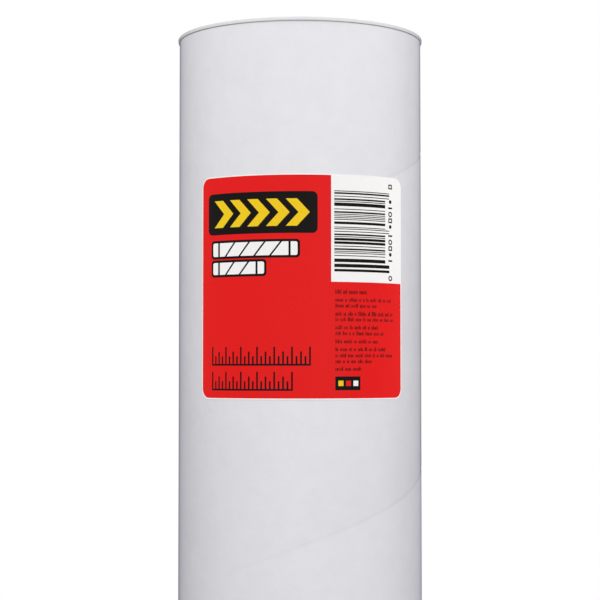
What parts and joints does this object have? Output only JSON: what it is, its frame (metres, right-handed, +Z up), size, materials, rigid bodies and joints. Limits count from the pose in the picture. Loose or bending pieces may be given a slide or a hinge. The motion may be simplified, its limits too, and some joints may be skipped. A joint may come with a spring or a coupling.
{
  "type": "cardboard mailing tube",
  "caption": "Long white spiral-wound cardboard mailing tube, closed at both ends by recessed plastic end plugs that pull out, with a printed paper sticker round the front.",
  "frame": {"origin": "centre of the plane that the tube stands on, which is the outer face of the bottom plug's flange", "axes": "+Z up along the tube's axis, -Y to the front, where the sticker is"},
  "size_m": [0.1068, 0.1068, 1.2221],
  "materials": {
    "board": "matte white outer ply over grey-brown board",
    "plug_plastic": "waxy white moulded polyethylene",
    "sticker": "semi-gloss print, mostly red"
  },
  "bodies": {
    "tube": {"tube": "board", "label": "sticker"},
    "top_plug": {"top_plug": "plug_plastic"},
    "bottom_plug": {"bottom_plug": "plug_plastic"}
  },
  "joints": [
    {"name": "top_plug_pull", "type": "slide", "parent": "tube", "child": "top_plug", "axis": [0, 0, 1], "range_m": [0, 0.06]},
    {"name": "bottom_plug_pull", "type": "slide", "parent": "tube", "child": "bottom_plug", "axis": [0, 0, -1], "range_m": [0, 0.06]}
  ]
}
